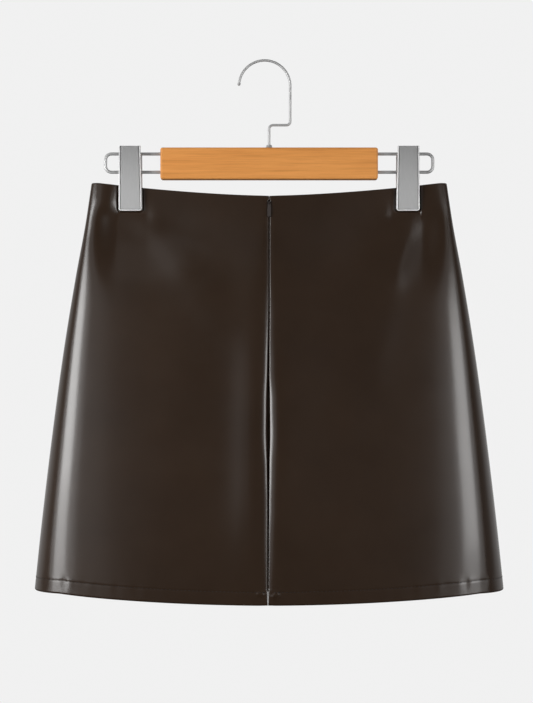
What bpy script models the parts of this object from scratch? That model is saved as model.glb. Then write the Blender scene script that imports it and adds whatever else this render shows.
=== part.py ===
"""Leather mini skirt on a wooden clip hanger.

The skirt is a tube of three panels: one plain front and two backs that meet in a
centre seam with a concealed zip. It hangs by its waist from two metal clips, flat at
the waist and opening towards the hem. The hanger is a wooden bar with a steel hook
and a wire loop at each end that carries a clip.

Frame: metres, +Z up, the back with the zip faces -Y, +X to its viewer's right. The
origin is the underside of the hook, right above the skirt's centre line.
"""

import math

import bmesh
import bpy
from mathutils import Matrix, Vector

OBJECT_NAME = "leather_mini_skirt_on_clip_hanger"

# ---- the cloth
WALL = 0.0012  # one layer of leather
TURNED_WALL = 0.0026  # two layers, where an edge is turned in
GAP = 0.0003  # between neighbouring pieces
HALF_GAP = GAP / 2
BACK, FRONT = -1, 1  # the side of the skirt, as the sign of Y

# ---- the skirt as it hangs
WAIST_Z = -0.1151  # the waist edge at the side seams
SIDE_LENGTH = 0.385  # along a side seam
WAIST_SAG = 0.0124  # the waist edge dips this far at the centre
WAIST_SAG_REACH = 0.162  # and is level outside this distance from the centre
WAIST_SAG_POWER = 1.5
HEM_SAG = 0.0095
HEM_SAG_REACH = 0.195
WAIST_TURN = 0.0155  # depth of the turned waist edge
HEM_TURN = 0.0125  # depth of the stitched hem
SEAM_ALLOWANCE = 0.012

# The section at some drops below the waist. A half section is a flattened oval:
# half_depth is its round part's, side_radius its radius at the side seam, and crown
# the extra swell in the middle of the face.
SECTION_COLUMNS = ("drop", "half_width", "half_depth", "side_radius", "crown")
SECTIONS = (
    (0.000, 0.1689, 0.0045, 0.0015, 0.0030),
    (0.040, 0.1748, 0.0088, 0.0054, 0.0030),
    (0.090, 0.1839, 0.0146, 0.0110, 0.0032),
    (0.160, 0.1952, 0.0217, 0.0190, 0.0040),
    (0.240, 0.2060, 0.0280, 0.0258, 0.0050),
    (0.320, 0.2155, 0.0335, 0.0332, 0.0060),
    (0.385, 0.2224, 0.0370, 0.0322, 0.0070),
)

# Centre back seam: its edges roll inwards. half_opening is between the rolled edges on
# the outside, half_edge between the cut edges at the bottom of the roll. The face dips
# a little beside the seam, more on the right than on the left.
SEAM_COLUMNS = (
    "drop", "half_opening", "half_edge", "roll_depth", "left_dip", "right_dip"
)
SEAM = (
    (0.0000, 0.0003, HALF_GAP, 0.0014, 0.0002, 0.0002),
    (0.0035, 0.0004, HALF_GAP, 0.0020, 0.0003, 0.0003),
    (0.0052, 0.0010, 0.0008, 0.0048, 0.0004, 0.0005),
    (0.0155, 0.0010, 0.0008, 0.0048, 0.0004, 0.0005),
    (0.0172, 0.0005, HALF_GAP, 0.0048, 0.0004, 0.0004),
    (0.0650, 0.0005, HALF_GAP, 0.0048, 0.0004, 0.0004),
    (0.1300, 0.0006, HALF_GAP, 0.0048, 0.0005, 0.0008),
    (0.1650, 0.0008, HALF_GAP, 0.0048, 0.0007, 0.0013),
    (0.1950, 0.0014, HALF_GAP, 0.0050, 0.0012, 0.0024),
    (0.2250, 0.0017, HALF_GAP, 0.0052, 0.0012, 0.0025),
    (0.2600, 0.0012, HALF_GAP, 0.0050, 0.0006, 0.0018),
    (0.2900, 0.0006, HALF_GAP, 0.0048, 0.0004, 0.0012),
    (0.3300, 0.0005, HALF_GAP, 0.0046, 0.0003, 0.0008),
    (0.3700, 0.0004, HALF_GAP, 0.0044, 0.0002, 0.0005),
    (0.3740, 0.0003, HALF_GAP, 0.0016, 0.0002, 0.0004),
    (0.3850, 0.0003, HALF_GAP, 0.0014, 0.0002, 0.0003),
)
LIP_RADIUS = 0.0016  # of a rolled seam edge
LIP_TURNS = (90, 60, 30, 0)  # degrees round the roll, from the opening to the face
DIP_REACH = {-1: 0.0030, 1: 0.0043}  # of the dip beside the seam, left and right
WELT = 0.0052  # panel and allowance together, beside the seam
WELT_REACH = 0.008

# Broad soft folds of a face, as ridges. Each runs from its top end to its bottom end, x
# from the centre line, drop from the waist, and falls off over its own distance to
# either side.
FOLD_COLUMNS = (
    "side", "top_x", "top_drop", "end_x", "end_drop", "left", "right", "height"
)
FOLDS = (
    (BACK, -0.012, 0.070, -0.012, 0.360, 0.025, 0.050, 0.0027),
    (BACK, -0.104, 0.030, -0.068, 0.130, 0.016, 0.014, 0.0013),
    (BACK, 0.140, 0.030, 0.108, 0.150, 0.014, 0.014, 0.0013),
    (FRONT, -0.118, 0.030, -0.078, 0.120, 0.013, 0.013, 0.0011),
    (FRONT, 0.116, 0.030, 0.080, 0.130, 0.013, 0.013, 0.0011),
    (FRONT, 0.022, 0.100, 0.030, 0.350, 0.045, 0.022, 0.0020),
)

# Where the mesh has its lines: x as a share of the half width, drops below the waist.
FACE_SHARES = (
    0.125, 0.19, 0.26, 0.33, 0.41, 0.50, 0.59, 0.65, 0.697, 0.78, 0.835,
    0.882, 0.930, 0.966, 0.988, 0.9975, 1.0,
)
ROW_DROPS = (
    0.0, 0.0035, 0.0052, 0.0155, 0.0172, 0.029, 0.045, 0.065, 0.090, 0.120, 0.150,
    0.185, 0.225, 0.260, 0.290, 0.320, 0.350, 0.3715, 0.3740, 0.3850,
)

# ---- the zip, behind the centre back seam
TAPE_DROPS = (0.006, 0.0155, 0.029, 0.045, 0.065, 0.090, 0.120, 0.150, 0.185)
TAPE_THICKNESS = 0.0010
TAPE_NEAR_X = 0.0014
TAPE_FAR_X = 0.0125
COIL_HALF_WIDTH = 0.0011
COIL_THICKNESS = 0.0016
PIN_Z = -0.1342  # hinge of the pull tab
PIN_PROUD = 0.0007  # the hinge in front of the face
PIN_RADIUS = 0.00045
EYE_RADIUS = 0.00075
NECK_HALF_WIDTH = 0.0004
NECK_ROUND = 0.00135
NECK_HALF_HEIGHT = 0.0011
SLIDER_SIZE = (0.0062, 0.0022, 0.0080)
TAB_LENGTH = 0.0135
TAB_TOP_HALF_WIDTH = 0.0012
TAB_END_HALF_WIDTH = 0.0017
TAB_THICKNESS = 0.0009
TAB_SLOPE_DEGREES = 6.5  # the face under the tab leans out this much going down

# ---- the hanger
BAR_SIZE = (0.206, 0.014, 0.0300)
BAR_Z = -0.0968
BAR_ROUND = 0.0018
WIRE_RADIUS = 0.0015
WIRE_TOP_Z = -0.0873
WIRE_LOW_Z = -0.1046
WIRE_END_X = 0.1554
WIRE_CORNER = 0.0055
WIRE_SEAT = 0.012  # how far a wire reaches into the bar
HOOK_RADIUS = 0.0012  # of the hook's wire
HOOK_BEND = 0.0243  # of the hook's round
HOOK_CENTRE_X = -0.0043
HOOK_SHANK_BEND_Z = -0.0599
HOOK_SHANK_CORNER = 0.0036
HOOK_TIP_DEGREES = 174
COLLAR_RADIUS = 0.0032
COLLAR_HEIGHT = 0.0026
BORE_CLEARANCE = 0.0003
BORE_SIDES = 24

CLIP_X = 0.1315
CLIP_TOP_Z = -0.0806
CLIP_LOW_Z = -0.1417
CLIP_TOP_HALF_WIDTH = 0.0101
CLIP_LOW_HALF_WIDTH = 0.0110
CLIP_SHEET = 0.0009
CLIP_TRAY_DEPTH = 0.0030
CLIP_CORNER = 0.0024
CLIP_GRIP_HALF_GAP = 0.0034  # from the middle of the cloth to a jaw, at its lower end
CLIP_TILT_DEGREES = 5.2
BACK_JAW_SHORTER = 0.007
CORE_HALF_WIDTH = 0.0082
CORE_TOP_Z = -0.0835
CORE_LOW_Z = -0.1085
PINCH_HALF_DEPTH = 0.0029  # the cloth under a clip
PINCH_FLAT_IN = 0.0142  # flat this far from the clip's middle, towards the skirt's middle
PINCH_FLAT_OUT = 0.0130  # and towards the side seam
PINCH_FADE_IN = 0.095
PINCH_FADE_OUT = 0.032
PINCH_STEEP = 0.010  # beside the clip the cloth first rises quickly
PINCH_STEEP_SHARE = 0.58
PINCH_FLAT_DROP = 0.027
PINCH_END_DROP = 0.160
PINCH_POWER = 3


# ---------------------------------------------------------------- shape of the cloth
def soft_step(share):
    """0 to 1, level at both ends."""
    share = min(1.0, max(0.0, share))
    return share * share * (3 - 2 * share)


def read_table(rows, columns, drop):
    """The table's values at a drop, joined smoothly from row to row."""
    last = len(rows) - 2
    place = next((i for i in range(last) if drop < rows[i + 1][0]), last)
    before, low = rows[max(0, place - 1)], rows[place]
    high, after = rows[place + 1], rows[min(place + 2, last + 1)]
    span = high[0] - low[0]
    t = (drop - low[0]) / span
    found = {}
    for i, name in enumerate(columns):
        slope_low = (high[i] - before[i]) / (high[0] - before[0]) * span
        slope_high = (after[i] - low[i]) / (after[0] - low[0]) * span
        found[name] = (
            low[i] * (2 * t**3 - 3 * t**2 + 1)
            + high[i] * (3 * t**2 - 2 * t**3)
            + slope_low * (t**3 - 2 * t**2 + t)
            + slope_high * (t**3 - t**2)
        )
    return found


def read_straight(rows, columns, drop):
    """The table's values at a drop, joined by straight lines."""
    last = len(rows) - 2
    place = next((i for i in range(last) if drop < rows[i + 1][0]), last)
    low, high = rows[place], rows[place + 1]
    t = (drop - low[0]) / (high[0] - low[0])
    return {name: low[i] + (high[i] - low[i]) * t for i, name in enumerate(columns)}


def height_at(x, drop):
    """World Z of the cloth; x is the share of the half width that the point lies at."""
    waist_x = x * SECTIONS[0][1]
    hem_x = x * SECTIONS[-1][1]
    dip = 1 - min(1.0, waist_x / WAIST_SAG_REACH) ** WAIST_SAG_POWER
    swell = 1 - min(1.0, hem_x / HEM_SAG_REACH) ** 2
    top = WAIST_Z - WAIST_SAG * dip
    bottom = WAIST_Z - SIDE_LENGTH - HEM_SAG * swell
    return top + (bottom - top) * drop / SIDE_LENGTH


def pinch_at(x, drop):
    """How much a clip presses the cloth at x: 1 under it, 0 away from it."""
    from_clip = abs(x) - CLIP_X
    if from_clip > 0:
        past = max(0.0, from_clip - PINCH_FLAT_OUT)
        steep = max(0.0, 1 - past / PINCH_STEEP) ** 2
        slow = 1 - soft_step(past / PINCH_FADE_OUT)
        across = PINCH_STEEP_SHARE * steep + (1 - PINCH_STEEP_SHARE) * slow
    else:
        across = 1 - soft_step((-from_clip - PINCH_FLAT_IN) / PINCH_FADE_IN)
    below = (drop - PINCH_FLAT_DROP) / (PINCH_END_DROP - PINCH_FLAT_DROP)
    return across * (1 - min(1.0, max(0.0, below))) ** PINCH_POWER


def fold_height(side, x, drop):
    """What the broad folds add to the face at a point."""
    total = 0.0
    for row in FOLDS:
        fold = dict(zip(FOLD_COLUMNS, row))
        if fold["side"] != side:
            continue
        run = Vector((fold["end_x"] - fold["top_x"], fold["end_drop"] - fold["top_drop"]))
        start = Vector((x - fold["top_x"], drop - fold["top_drop"]))
        along = start.dot(run) / run.length_squared
        off = (start.x * run.y - start.y * run.x) / run.length
        reach = fold["right"] if off > 0 else fold["left"]
        ends = soft_step(along * 4 + 0.5) * soft_step((1 - along) * 4 + 0.5)
        total += fold["height"] * ends * math.exp(-((off / reach) ** 2))
    return total


def wall_at(drop):
    """The cloth is two layers thick at its turned waist and hem."""
    turned = drop < WAIST_TURN + GAP or drop > SIDE_LENGTH - HEM_TURN
    return TURNED_WALL if turned else WALL


def face_depth(side, share, drop, wall=0.0):
    """(x, distance from the skirt's middle plane) of the outer face, or of a face that
    lies a wall inside it."""
    section = read_table(SECTIONS, SECTION_COLUMNS, drop)
    half_width = section["half_width"]
    depth = section["half_depth"]
    roundness = 2 * half_width * section["side_radius"] / depth**2
    x = share * half_width
    height = depth + section["crown"] * (1 - share**2)
    height += fold_height(side, x, drop)
    height += (PINCH_HALF_DEPTH - height) * pinch_at(x, drop)
    rounding = math.sqrt(max(0.0, 1 - abs(share) ** roundness))
    if wall:
        height = max(height - wall, GAP)
    return share * (half_width - wall), HALF_GAP + height * rounding


def welt_at(x, wall):
    """Thickness of the back panel beside the seam, with its allowance turned back."""
    return wall + (WELT - wall) * (1 - soft_step(x / WELT_REACH))


def back_row(drop, mirror):
    """Outer and inner points of a back panel at one drop, from the seam to the side.
    mirror is -1 for the left panel; the points are as on the right one."""
    wall = wall_at(drop)
    seam = read_straight(SEAM, SEAM_COLUMNS, drop)
    dip = seam["left_dip"] if mirror < 0 else seam["right_dip"]
    radius = min(LIP_RADIUS, seam["roll_depth"])
    lip_x = seam["half_opening"] + LIP_RADIUS
    face = face_depth(BACK, 0.0, drop)[1]
    cut_depth = max(seam["roll_depth"], radius + dip + GAP)
    outer = [(seam["half_edge"], face - cut_depth)]
    for turn in LIP_TURNS:
        angle = math.radians(turn)
        x = seam["half_opening"] + LIP_RADIUS * (1 - math.sin(angle))
        outer.append((x, face - radius * (1 - math.cos(angle)) - dip))
    inner = []
    for i in range(len(outer)):
        x = seam["half_edge"] + (lip_x - seam["half_edge"]) * i / (len(outer) - 1)
        inner.append((x, face - max(welt_at(x, wall), seam["roll_depth"] + 2 * GAP)))
    half_width = read_table(SECTIONS, SECTION_COLUMNS, drop)["half_width"]
    xs = [0.0060, SEAM_ALLOWANCE, SEAM_ALLOWANCE + 0.0008]
    for share in [x / half_width for x in xs] + list(FACE_SHARES):
        x, depth = face_depth(BACK, mirror * share, drop)
        x = abs(x)
        outer.append((x, depth - dip * math.exp(-max(0.0, x - lip_x) / DIP_REACH[mirror])))
        if x <= SEAM_ALLOWANCE + GAP:
            inner.append((x, depth - max(welt_at(x, TURNED_WALL), wall)))
        else:
            inner_x, inner_depth = face_depth(BACK, mirror * share, drop, wall)
            inner.append((abs(inner_x), inner_depth))
    return half_width, outer, inner


def front_row(drop):
    """Outer and inner points of the front panel at one drop, from side to side."""
    half_width = read_table(SECTIONS, SECTION_COLUMNS, drop)["half_width"]
    shares = [-share for share in reversed(FACE_SHARES)] + [0.0] + list(FACE_SHARES)
    outer = [face_depth(FRONT, share, drop) for share in shares]
    inner = [face_depth(FRONT, share, drop, wall_at(drop)) for share in shares]
    return half_width, outer, inner


def placed(points, half_width, side, mirror, drop):
    return [
        Vector((mirror * x, side * depth, height_at(min(1.0, abs(x) / half_width), drop)))
        for x, depth in points
    ]


# ---------------------------------------------------------------- blender helpers
def clear_scene():
    for obj in list(bpy.data.objects):
        bpy.data.objects.remove(obj)
    for collection in list(bpy.data.collections):
        bpy.data.collections.remove(collection)


def new_collection(name):
    collection = bpy.data.collections.new(name)
    bpy.context.scene.collection.children.link(collection)
    return collection


def principled(name, colour, roughness, metallic=0.0):
    material = bpy.data.materials.new(name)
    material.use_nodes = True
    shader = material.node_tree.nodes["Principled BSDF"]
    shader.inputs["Base Color"].default_value = (*colour, 1)
    shader.inputs["Roughness"].default_value = roughness
    shader.inputs["Metallic"].default_value = metallic
    return material


def new_object(name, data, collection, material=None):
    obj = bpy.data.objects.new(name, data)
    collection.objects.link(obj)
    if material:
        data.materials.append(material)
    return obj


def from_bmesh(name, shape, collection, material=None):
    bmesh.ops.recalc_face_normals(shape, faces=shape.faces)
    mesh = bpy.data.meshes.new(name)
    shape.to_mesh(mesh)
    shape.free()
    return new_object(name, mesh, collection, material)


def smooth(obj, degrees=40):
    obj.data.shade_smooth()
    obj.data.set_sharp_from_angle(angle=math.radians(degrees))


def sheet_solid(name, outer_rows, inner_rows, collection, material):
    """A closed wall between two grids of points, one row for each drop."""
    shape = bmesh.new()
    grids = [
        [[shape.verts.new(point) for point in row] for row in rows]
        for rows in (outer_rows, inner_rows)
    ]
    outer, inner = grids
    last_row, last = len(outer) - 1, len(outer[0]) - 1
    for grid in grids:
        for upper, lower in zip(grid, grid[1:]):
            for i in range(last):
                shape.faces.new((upper[i], upper[i + 1], lower[i + 1], lower[i]))
    for row in (0, last_row):
        for i in range(last):
            rim = (outer[row][i], outer[row][i + 1], inner[row][i + 1], inner[row][i])
            shape.faces.new(rim)
    for column in (0, last):
        for row in range(last_row):
            rim = (
                outer[row][column],
                outer[row + 1][column],
                inner[row + 1][column],
                inner[row][column],
            )
            shape.faces.new(rim)
    obj = from_bmesh(name, shape, collection, material)
    smooth(obj)
    return obj


def box(name, centre, size, collection, material=None):
    shape = bmesh.new()
    bmesh.ops.create_cube(shape, size=1)
    bmesh.ops.scale(shape, vec=size, verts=shape.verts)
    obj = from_bmesh(name, shape, collection, material)
    obj.location = centre
    return obj


def rod(name, centre, radius, length, axis, collection, material=None, sides=BORE_SIDES):
    shape = bmesh.new()
    bmesh.ops.create_cone(
        shape, cap_ends=True, segments=sides, radius1=radius, radius2=radius, depth=length
    )
    turn = Vector((0, 0, 1)).rotation_difference(Vector(axis)).to_matrix()
    bmesh.ops.rotate(shape, cent=(0, 0, 0), matrix=turn, verts=shape.verts)
    obj = from_bmesh(name, shape, collection, material)
    obj.location = centre
    return obj


def add_boolean(obj, cutter, operation="DIFFERENCE"):
    modifier = obj.modifiers.new(operation.title() + " " + cutter.name, "BOOLEAN")
    modifier.operation = operation
    modifier.solver = "EXACT"
    modifier.object = cutter
    cutter.hide_render = True
    cutter.display_type = "WIRE"


def wire(name, points, radius, collection, material):
    """A round wire along an open run of points."""
    curve = bpy.data.curves.new(name, "CURVE")
    curve.dimensions = "3D"
    curve.bevel_depth = radius
    curve.bevel_resolution = 2
    curve.use_fill_caps = True
    spline = curve.splines.new("POLY")
    spline.points.add(len(points) - 1)
    for point, place in zip(spline.points, points):
        point.co = (*place, 1)
    return new_object(name, curve, collection, material)


def outline_plate(name, outline, thickness, collection, material=None):
    """A flat outline in its own XZ plane, as a plate centred on that plane."""
    curve = bpy.data.curves.new(name, "CURVE")
    curve.dimensions = "2D"
    curve.fill_mode = "BOTH"
    curve.extrude = thickness / 2
    spline = curve.splines.new("POLY")
    spline.points.add(len(outline) - 1)
    for point, (x, z) in zip(spline.points, outline):
        point.co = (x, z, 0, 1)
    spline.use_cyclic_u = True
    made = new_object(name, curve, collection)
    made.matrix_world = Matrix.Rotation(math.radians(90), 4, "X")
    return to_mesh(made, collection, material)


def to_mesh(made, collection, material=None):
    """The curve object as a mesh object of the same name and place, caps welded."""
    bpy.context.view_layer.update()
    name = made.name
    evaluated = made.evaluated_get(bpy.context.evaluated_depsgraph_get())
    mesh = bpy.data.meshes.new_from_object(evaluated)
    shape = bmesh.new()
    shape.from_mesh(mesh)
    bmesh.ops.remove_doubles(shape, verts=shape.verts, dist=0.00001)
    bmesh.ops.transform(shape, matrix=made.matrix_world, verts=shape.verts)
    bmesh.ops.recalc_face_normals(shape, faces=shape.faces)
    shape.to_mesh(mesh)
    shape.free()
    mesh.materials.clear()
    bpy.data.objects.remove(made)
    obj = new_object(name, mesh, collection, material)
    obj.name = name
    return obj


def arc(centre, radius, start, end, steps):
    """Points round part of a circle in a plane, angles in degrees."""
    angles = [math.radians(start + (end - start) * i / steps) for i in range(steps + 1)]
    return [
        (centre[0] + radius * math.cos(a), centre[1] + radius * math.sin(a)) for a in angles
    ]


# ---------------------------------------------------------------- the skirt
def make_panels(parts, leather):
    for name, mirror in (("panel_back_left", -1), ("panel_back_right", 1)):
        outer_rows, inner_rows = [], []
        for drop in ROW_DROPS:
            half_width, outer, inner = back_row(drop, mirror)
            outer_rows.append(placed(outer, half_width, BACK, mirror, drop))
            inner_rows.append(placed(inner, half_width, BACK, mirror, drop))
        sheet_solid(name, outer_rows, inner_rows, parts, leather)
    outer_rows, inner_rows = [], []
    for drop in ROW_DROPS:
        half_width, outer, inner = front_row(drop)
        outer_rows.append(placed(outer, half_width, FRONT, 1, drop))
        inner_rows.append(placed(inner, half_width, FRONT, 1, drop))
    sheet_solid("panel_front", outer_rows, inner_rows, parts, leather)


def inside_of_back(x, drop):
    """Depth of the back panel's inner surface beside the seam."""
    half_width = read_table(SECTIONS, SECTION_COLUMNS, drop)["half_width"]
    seam = read_straight(SEAM, SEAM_COLUMNS, drop)
    depth = face_depth(BACK, x / half_width, drop)[1]
    thick = max(welt_at(abs(x), TURNED_WALL), seam["roll_depth"] + 2 * GAP)
    return half_width, depth - thick


def zip_strip(name, xs, mirror, drops, thickness, collection, material):
    """A strip that lies on the inside of the back panels, a gap away from them."""
    outer_rows, inner_rows = [], []
    for drop in drops:
        outer, inner = [], []
        for x in xs:
            half_width, depth = inside_of_back(mirror * x, drop)
            outer.append((x, depth - GAP))
            inner.append((x, depth - GAP - thickness))
        outer_rows.append(placed(outer, half_width, BACK, mirror, drop))
        inner_rows.append(placed(inner, half_width, BACK, mirror, drop))
    sheet_solid(name, outer_rows, inner_rows, collection, material)


def make_zip_tapes(parts, tape, coil):
    xs = (TAPE_NEAR_X, 0.004, 0.008, TAPE_FAR_X)
    zip_strip("zip_tape_left", xs, -1, TAPE_DROPS, TAPE_THICKNESS, parts, tape)
    zip_strip("zip_tape_right", xs, 1, TAPE_DROPS, TAPE_THICKNESS, parts, tape)
    below_slider = 0.0145
    drops = [below_slider] + [drop for drop in TAPE_DROPS if drop > 0.02]
    xs = (-COIL_HALF_WIDTH, 0.0, COIL_HALF_WIDTH)
    zip_strip("zip_coil", xs, 1, drops, COIL_THICKNESS, parts, coil)


def pin_place():
    """The pull tab's hinge: in front of the seam, on the centre line."""
    drop_there = height_at(0, 0) - PIN_Z
    face = face_depth(BACK, 0.0, drop_there)[1]
    return Vector((0, -(face + PIN_PROUD), PIN_Z))


def make_slider(parts, cutters, metal):
    """Body on the inside of the zip, and a neck through the seam with the hinge's eye."""
    pin = pin_place()
    _, tape_depth = inside_of_back(TAPE_NEAR_X, height_at(0, 0) - PIN_Z)
    body_y = -(tape_depth - GAP - TAPE_THICKNESS - GAP - SLIDER_SIZE[1] / 2)
    centre = Vector((0, body_y, PIN_Z))
    slider = box("zip_slider", centre, SLIDER_SIZE, parts, metal)
    neck_y = (pin.y, body_y)
    neck_size = (2 * NECK_HALF_WIDTH, neck_y[1] - neck_y[0], 2 * NECK_HALF_HEIGHT)
    neck_centre = Vector((0, (neck_y[0] + neck_y[1]) / 2, PIN_Z))
    neck = box("slider_neck", neck_centre, neck_size, cutters)
    add_boolean(slider, neck, "UNION")
    ring = rod(
        "slider_eye_rim", pin, NECK_ROUND, 2 * NECK_HALF_WIDTH, (1, 0, 0), cutters, sides=20
    )
    add_boolean(slider, ring, "UNION")
    hole = rod("slider_eye_hole", pin, EYE_RADIUS, 0.004, (1, 0, 0), cutters, sides=20)
    add_boolean(slider, hole)


def make_pull_tab(parts, cutters, paint):
    """Tapered tab, forked round the slider's eye, with a pin across the fork. Its own
    origin is the pin, so it turns about its own X axis."""
    top = TAB_TOP_HALF_WIDTH
    end = TAB_END_HALF_WIDTH
    corner = 0.0009
    low = -TAB_LENGTH + corner
    outline = [(top, 0.0), (end, -TAB_LENGTH * 0.45), (end, low)]
    outline += arc((end - corner, low), corner, -22.5, -90, 3)
    outline += [(-x, z) for x, z in reversed(outline)]
    outline += arc((0, 0), top, 157.5, 22.5, 6)
    tab = outline_plate("zip_pull_tab", outline, TAB_THICKNESS, parts, paint)
    slot_half = NECK_HALF_WIDTH + GAP
    slot_end = -(NECK_ROUND + GAP)
    slot_size = (2 * slot_half, 0.004, 2 * abs(slot_end))
    slot = box("pull_tab_slot", (0, 0, 0), slot_size, cutters)
    pin = rod(
        "pull_tab_pin", (0, 0, 0), PIN_RADIUS, 2 * (slot_half + 0.0003), (1, 0, 0), cutters,
        sides=16,
    )
    add_boolean(tab, slot)
    add_boolean(tab, pin, "UNION")
    place = Matrix.Translation(pin_place())
    lean = Matrix.Rotation(math.radians(-TAB_SLOPE_DEGREES), 4, "X")
    for obj in (tab, slot, pin):
        obj.matrix_world = place @ lean @ obj.matrix_world


# ---------------------------------------------------------------- the hanger
def make_bar(parts, cutters, wood):
    bar = box("hanger_bar", (0, 0, BAR_Z), BAR_SIZE, parts, wood)
    bevel = bar.modifiers.new("Rounded edges", "BEVEL")
    bevel.width = BAR_ROUND
    bevel.segments = 2
    reach = WIRE_SEAT + GAP
    for side in (-1, 1):
        for z in (WIRE_TOP_Z, WIRE_LOW_Z):
            centre = (side * (BAR_SIZE[0] / 2 - reach / 2 + GAP), 0, z)
            name = f"bar_bore_{'left' if side < 0 else 'right'}_{round(-z * 1000)}"
            radius = WIRE_RADIUS + BORE_CLEARANCE
            bore = rod(name, centre, radius, reach + 2 * GAP, (1, 0, 0), cutters)
            add_boolean(bar, bore)
    top = BAR_Z + BAR_SIZE[2] / 2
    centre = (0, 0, top - reach / 2 + GAP)
    radius = HOOK_RADIUS + BORE_CLEARANCE
    bore = rod("bar_bore_hook", centre, radius, reach + 2 * GAP, (0, 0, 1), cutters)
    add_boolean(bar, bore)
    smooth(bar, 30)


def make_wire_loops(parts, steel):
    """A U of wire at each end of the bar, which the clip slides on."""
    middle = (WIRE_TOP_Z + WIRE_LOW_Z) / 2
    half = (WIRE_TOP_Z - WIRE_LOW_Z) / 2
    start = BAR_SIZE[0] / 2 - WIRE_SEAT
    corner_x = WIRE_END_X - WIRE_CORNER
    reach = half - WIRE_CORNER
    upper = arc((corner_x, middle + reach), WIRE_CORNER, 90, 0, 5)
    lower = arc((corner_x, middle - reach), WIRE_CORNER, 0, -90, 5)
    run = [(start, WIRE_TOP_Z)] + upper + lower + [(start, WIRE_LOW_Z)]
    for name, side in (("hanger_wire_left", -1), ("hanger_wire_right", 1)):
        wire(name, [(side * x, 0, z) for x, z in run], WIRE_RADIUS, parts, steel)


def make_hook(parts, steel):
    """Hook of round wire: a shank up from the bar, a jog aside, then the round."""
    rise = math.sqrt((HOOK_BEND - HOOK_RADIUS) ** 2 - HOOK_CENTRE_X**2)
    centre_z = -rise
    far_x = HOOK_CENTRE_X + HOOK_BEND
    bar_top = BAR_Z + BAR_SIZE[2] / 2
    corner = HOOK_SHANK_CORNER
    run = [(0.0, bar_top - WIRE_SEAT), (0.0, HOOK_SHANK_BEND_Z - corner)]
    run += arc((corner, HOOK_SHANK_BEND_Z - corner), corner, 157.5, 90, 3)
    run += arc((far_x - corner, HOOK_SHANK_BEND_Z + corner), corner, -90, -22.5, 3)
    run += [(far_x, HOOK_SHANK_BEND_Z + corner)]
    run += arc((HOOK_CENTRE_X, centre_z), HOOK_BEND, 0, HOOK_TIP_DEGREES, 24)
    wire("hanger_hook", [(x, 0, z) for x, z in run], HOOK_RADIUS, parts, steel)


def make_collar(parts, steel):
    """Small turned ferrule where the hook's shank enters the bar."""
    inner = HOOK_RADIUS + BORE_CLEARANCE
    bottom = BAR_Z + BAR_SIZE[2] / 2 + GAP
    top = bottom + COLLAR_HEIGHT
    profile = (
        (inner, top),
        (COLLAR_RADIUS - 0.0008, top),
        (COLLAR_RADIUS, bottom),
        (inner, bottom),
    )
    mesh = bpy.data.meshes.new("hook_collar")
    edges = [(i, (i + 1) % len(profile)) for i in range(len(profile))]
    mesh.from_pydata([(x, 0, z) for x, z in profile], edges, [])
    collar = new_object("hook_collar", mesh, parts, steel)
    screw = collar.modifiers.new("Turn", "SCREW")
    screw.steps = screw.render_steps = 20
    screw.use_merge_vertices = True
    screw.merge_threshold = 0.00001


def jaw_outline(inset, low, length, corner):
    """Outline of a jaw that is a little wider at its lower end, corners rounded there."""
    top_half = CLIP_TOP_HALF_WIDTH - inset
    low_half = CLIP_LOW_HALF_WIDTH - inset
    low += inset
    outline = [(top_half, length), (low_half, low + corner)]
    outline += arc((low_half - corner, low + corner), corner, -30, -90, 2)
    return outline + [(-x, z) for x, z in reversed(outline)]


def make_jaw(name, x, side, length, parts, cutters, steel):
    """A pressed tray of sheet metal, open at the top, its rim turned to the cloth."""
    outline = jaw_outline(0, 0, length, CLIP_CORNER)
    jaw = outline_plate(name, outline, CLIP_TRAY_DEPTH, parts, steel)
    inside = jaw_outline(CLIP_SHEET, 0, length + 0.002, CLIP_CORNER - CLIP_SHEET)
    hollow = outline_plate(name + "_hollow", inside, CLIP_TRAY_DEPTH, cutters)
    inward = Matrix.Translation((0, -side * CLIP_SHEET, 0))
    hollow.matrix_world = inward @ hollow.matrix_world
    add_boolean(jaw, hollow)
    grip_y = side * (CLIP_GRIP_HALF_GAP + CLIP_TRAY_DEPTH / 2)
    place = Matrix.Translation((x, grip_y, CLIP_LOW_Z))
    tilt = Matrix.Rotation(math.radians(-side * CLIP_TILT_DEGREES), 4, "X")
    for obj in (jaw, hollow):
        obj.matrix_world = place @ tilt @ obj.matrix_world
    smooth(jaw, 30)


def tray_floor(z):
    """Distance from the middle plane to the inside of a jaw's tray at a height."""
    rise = z - CLIP_LOW_Z
    tilt = math.radians(CLIP_TILT_DEGREES)
    return CLIP_GRIP_HALF_GAP + (CLIP_TRAY_DEPTH - CLIP_SHEET) + rise * math.tan(tilt)


def make_core(name, x, parts, cutters, steel):
    """The block between a clip's jaws, which runs on both wires of the loop."""
    shape = bmesh.new()
    bmesh.ops.create_cube(shape, size=1)
    for corner in shape.verts:
        z = CORE_TOP_Z if corner.co.z > 0 else CORE_LOW_Z
        half_depth = tray_floor(z) - GAP
        corner.co.x = math.copysign(CORE_HALF_WIDTH, corner.co.x)
        corner.co.y = math.copysign(half_depth, corner.co.y)
        corner.co.z = z
    core = from_bmesh(name, shape, parts, steel)
    core.location.x = x
    for z in (WIRE_TOP_Z, WIRE_LOW_Z):
        hole = rod(
            f"{name}_hole_{round(-z * 1000)}",
            (x, 0, z),
            WIRE_RADIUS + BORE_CLEARANCE,
            4 * CORE_HALF_WIDTH,
            (1, 0, 0),
            cutters,
        )
        add_boolean(core, hole)


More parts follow.
